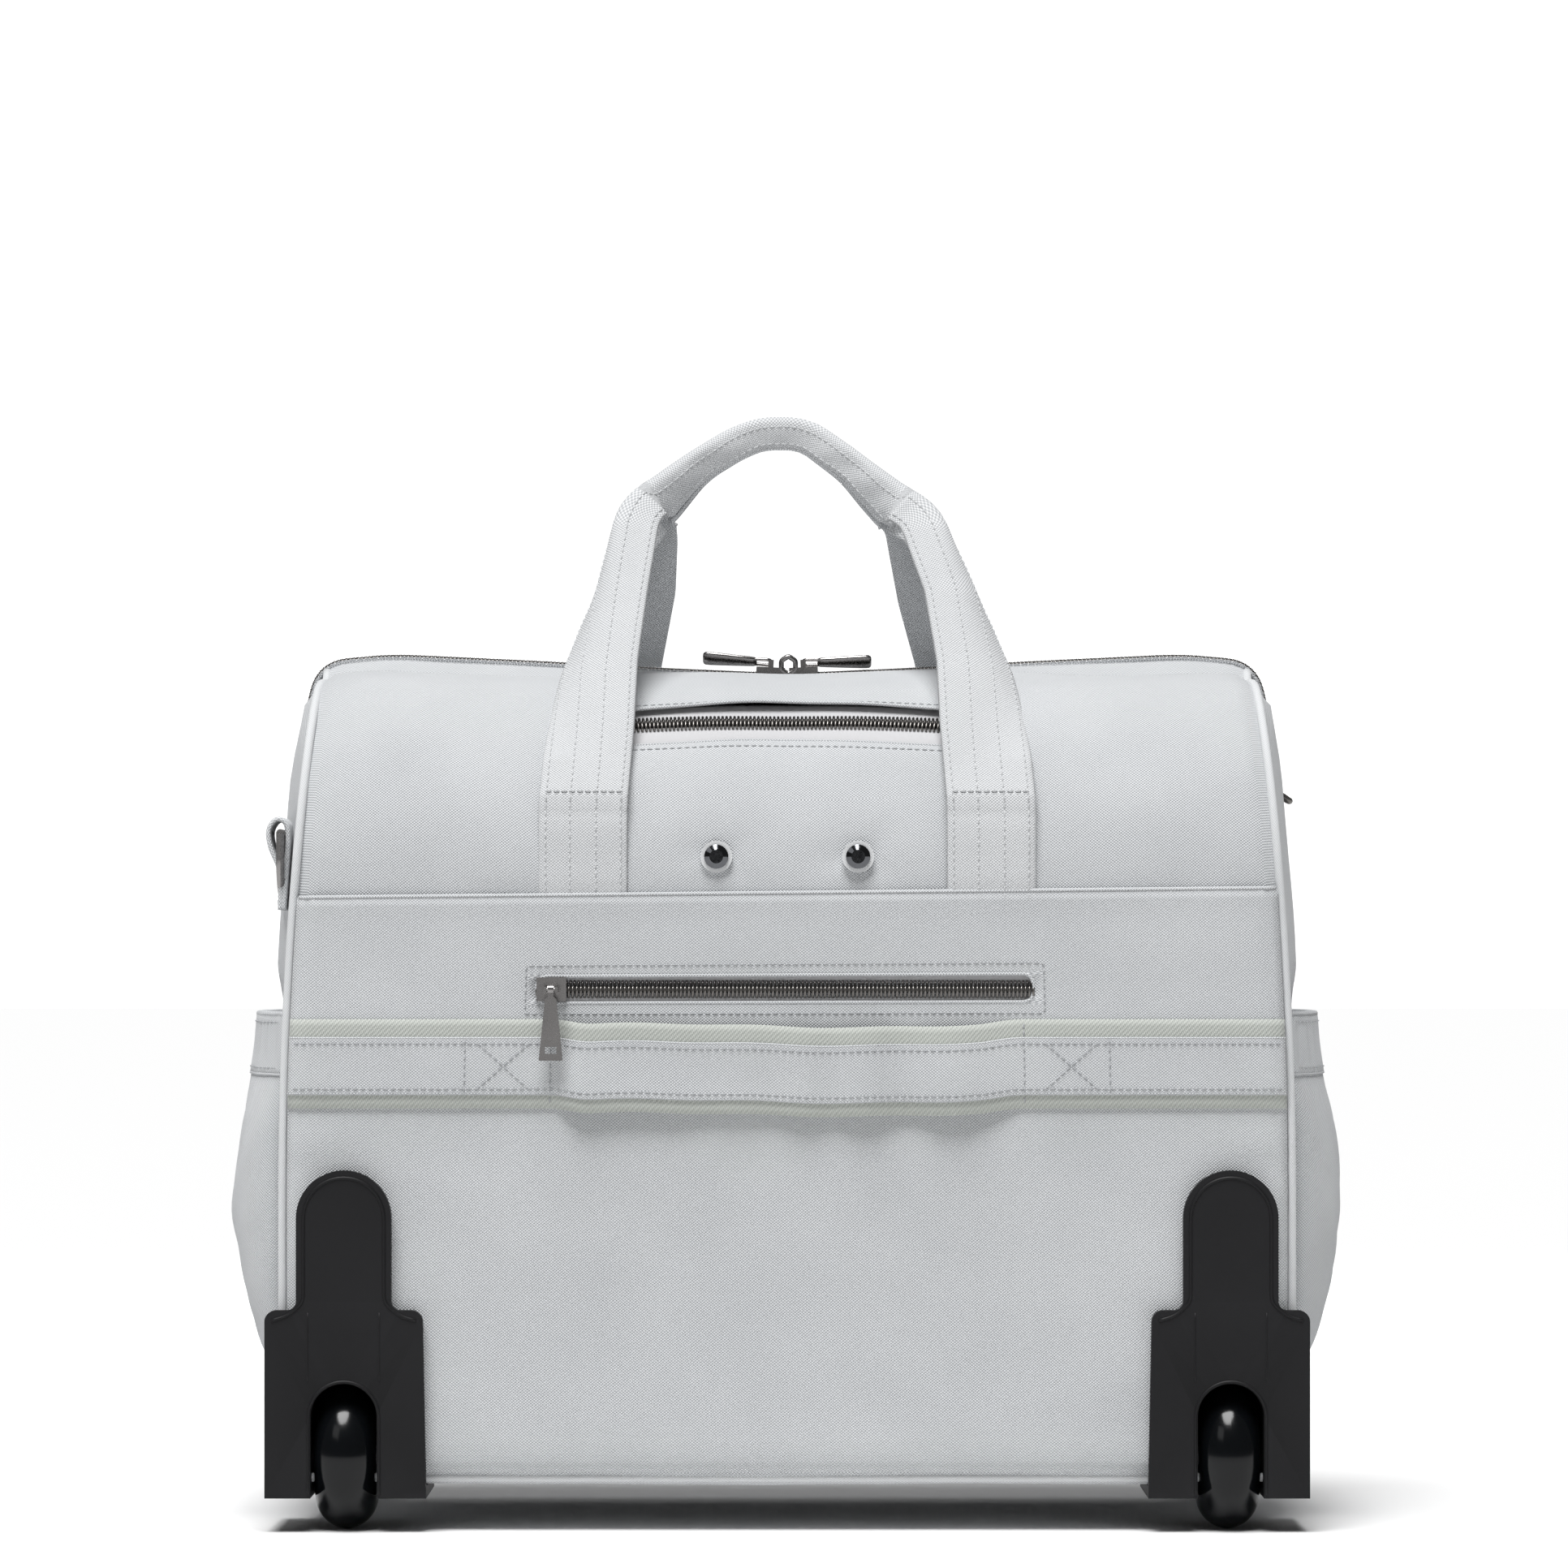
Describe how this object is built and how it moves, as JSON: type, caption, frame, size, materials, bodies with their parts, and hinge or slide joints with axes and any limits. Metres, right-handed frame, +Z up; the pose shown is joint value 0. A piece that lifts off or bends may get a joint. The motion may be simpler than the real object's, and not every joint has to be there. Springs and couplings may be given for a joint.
{
  "type": "wheeled overnight bag",
  "caption": "Soft grey wheeled overnight bag with a telescopic trolley, carry handles, grab band, zipped and side pockets, strap rings and wheels in moulded housings.",
  "frame": {"origin": "on the floor under the middle of the bag", "axes": "+X along the bag, -Y is the side with the wheels and the trolley, +Z up"},
  "size_m": [0.504, 0.248, 0.4965],
  "materials": {
    "fabric_grey": "light grey woven polyester with a fine basket weave",
    "zip_tape": "pale grey woven zip tape",
    "zip_coil": "gunmetal coloured coil",
    "webbing": "woven grey webbing with a slight green cast",
    "lining": "dark grey lining",
    "board": "black polypropylene stiffener",
    "housing_plastic": "black satin moulded plastic",
    "button_plastic": "dark grey moulded plastic",
    "wheel_tyre": "glossy black cast polyurethane",
    "hub_plastic": "black moulded plastic",
    "foot_rubber": "black rubber",
    "steel": "bright zinc plated steel",
    "tube_aluminium": "satin anodised aluminium",
    "chrome": "polished chrome",
    "grommet_metal": "pale grey enamelled ring",
    "gunmetal": "polished gunmetal plating"
  },
  "bodies": {
    "root": {"back_panel": "fabric_grey", "front_panel": "fabric_grey", "end_panel_left": "fabric_grey", "end_panel_right": "fabric_grey", "bottom_panel": "fabric_grey", "zip_gussets": "fabric_grey", "corner_piping": "fabric_grey", "back_pocket": "fabric_grey", "grab_cover": "fabric_grey", "side_pocket_left": "fabric_grey", "side_pocket_right": "fabric_grey", "pocket_hems": "fabric_grey", "ring_tabs": "fabric_grey", "strap_anchors": "fabric_grey", "front_pocket": "fabric_grey", "main_zip_tape": "zip_tape", "pocket_zip_tape": "zip_tape", "trolley_zip_tape": "zip_tape", "front_zip": "zip_tape", "main_zip_coil": "zip_coil", "pocket_zip_coil": "zip_coil", "grab_webbing": "webbing", "trolley_lining": "lining", "laptop_divider": "lining", "back_board": "board", "base_board": "board", "wheel_housing_left": "housing_plastic", "wheel_housing_right": "housing_plastic", "trolley_base": "housing_plastic", "trolley_bezel": "housing_plastic", "front_feet": "foot_rubber", "wheel_bearings": "steel", "wheel_axles": "steel", "housing_screws": "steel", "trolley_outer_tubes": "tube_aluminium", "trolley_rivets": "chrome", "rivet_grommets": "grommet_metal"},
    "wheel_left": {"tyre_left": "wheel_tyre", "hub_left": "hub_plastic"},
    "wheel_right": {"tyre_right": "wheel_tyre", "hub_right": "hub_plastic"},
    "trolley_lower": {"trolley_lower_tubes": "tube_aluminium"},
    "trolley_middle": {"trolley_middle_tubes": "tube_aluminium"},
    "trolley_upper": {"trolley_upper_tubes": "tube_aluminium", "trolley_grip": "housing_plastic"},
    "trolley_button": {"trolley_button": "button_plastic"},
    "handle_back": {"handle_back": "fabric_grey"},
    "handle_front": {"handle_front": "fabric_grey"},
    "main_slider_left": {"main_slider_left": "gunmetal"},
    "main_slider_right": {"main_slider_right": "gunmetal"},
    "main_pull_left": {"main_pull_left": "gunmetal"},
    "main_pull_right": {"main_pull_right": "gunmetal"},
    "pocket_slider": {"pocket_slider": "gunmetal"},
    "pocket_pull": {"pocket_pull": "gunmetal"},
    "trolley_zip_slider": {"trolley_zip_slider": "gunmetal"},
    "front_slider": {"front_slider": "gunmetal"},
    "front_pull": {"front_pull": "gunmetal"},
    "ring_left": {"ring_left": "gunmetal"},
    "ring_right": {"ring_right": "gunmetal"}
  },
  "joints": [
    {"name": "wheel_left_spin", "type": "hinge", "parent": "root", "child": "wheel_left", "pos_m": [-0.1935, -0.092, 0.032], "axis": [1, 0, 0], "continuous": true},
    {"name": "wheel_right_spin", "type": "hinge", "parent": "root", "child": "wheel_right", "pos_m": [0.1935, -0.092, 0.032], "axis": [1, 0, 0], "continuous": true},
    {"name": "trolley_lower_slide", "type": "slide", "parent": "root", "child": "trolley_lower", "axis": [0, 0, 1], "range_m": [0, 0.19], "deforming": ["trolley_zip_tape"]},
    {"name": "trolley_middle_slide", "type": "slide", "parent": "trolley_lower", "child": "trolley_middle", "axis": [0, 0, 1], "range_m": [0, 0.19]},
    {"name": "trolley_upper_slide", "type": "slide", "parent": "trolley_middle", "child": "trolley_upper", "axis": [0, 0, 1], "range_m": [0, 0.19]},
    {"name": "trolley_button_press", "type": "slide", "parent": "trolley_upper", "child": "trolley_button", "axis": [0, 0, -1], "range_m": [0, 0.002], "stiffness_N_per_m": 400},
    {"name": "handle_back_swing", "type": "hinge", "parent": "root", "child": "handle_back", "pos_m": [0, -0.11185, 0.31828], "axis": [1, 0, 0], "range_deg": [0, 165]},
    {"name": "handle_front_swing", "type": "hinge", "parent": "root", "child": "handle_front", "pos_m": [0, 0.11185, 0.31828], "axis": [-1, 0, 0], "range_deg": [0, 165]},
    {"name": "main_slider_left_slide", "type": "slide", "parent": "root", "child": "main_slider_left", "axis": [-0.9989, 0, 0.0473], "range_m": [0, 0.175]},
    {"name": "main_slider_right_slide", "type": "slide", "parent": "root", "child": "main_slider_right", "axis": [0.9989, 0, 0.0473], "range_m": [0, 0.175]},
    {"name": "main_pull_left_flip", "type": "hinge", "parent": "main_slider_left", "child": "main_pull_left", "pos_m": [-0.00729, 0, 0.38495], "axis": [0, 1, 0], "range_deg": [0, 100]},
    {"name": "main_pull_right_flip", "type": "hinge", "parent": "main_slider_right", "child": "main_pull_right", "pos_m": [0.00729, 0, 0.38495], "axis": [0, -1, 0], "range_deg": [0, 100]},
    {"name": "pocket_slider_slide", "type": "slide", "parent": "root", "child": "pocket_slider", "axis": [1, 0, 0], "range_m": [0, 0.203]},
    {"name": "pocket_pull_swing", "type": "hinge", "parent": "pocket_slider", "child": "pocket_pull", "pos_m": [-0.103, -0.122, 0.237], "axis": [-1, 0, 0], "range_deg": [0, 170]},
    {"name": "trolley_zip_slide", "type": "slide", "parent": "root", "child": "trolley_zip_slider", "axis": [1, 0, 0], "range_m": [0, 0.16]},
    {"name": "front_slider_slide", "type": "slide", "parent": "root", "child": "front_slider", "axis": [-1, 0, 0], "range_m": [0, 0.284]},
    {"name": "front_pull_swing", "type": "hinge", "parent": "front_slider", "child": "front_pull", "pos_m": [0.142, 0.122, 0.23], "axis": [1, 0, 0], "range_deg": [0, 170]},
    {"name": "ring_left_swing", "type": "hinge", "parent": "root", "child": "ring_left", "pos_m": [-0.2245, -0.06, 0.306], "axis": [0, 1, 0], "range_deg": [0, 150]},
    {"name": "ring_right_swing", "type": "hinge", "parent": "root", "child": "ring_right", "pos_m": [0.2245, 0.075, 0.306], "axis": [0, -1, 0], "range_deg": [0, 150]}
  ],
  "couplings": [
    {"joint": "trolley_middle_slide", "follows": "trolley_lower_slide", "ratio": 1},
    {"joint": "trolley_upper_slide", "follows": "trolley_lower_slide", "ratio": 1}
  ]
}
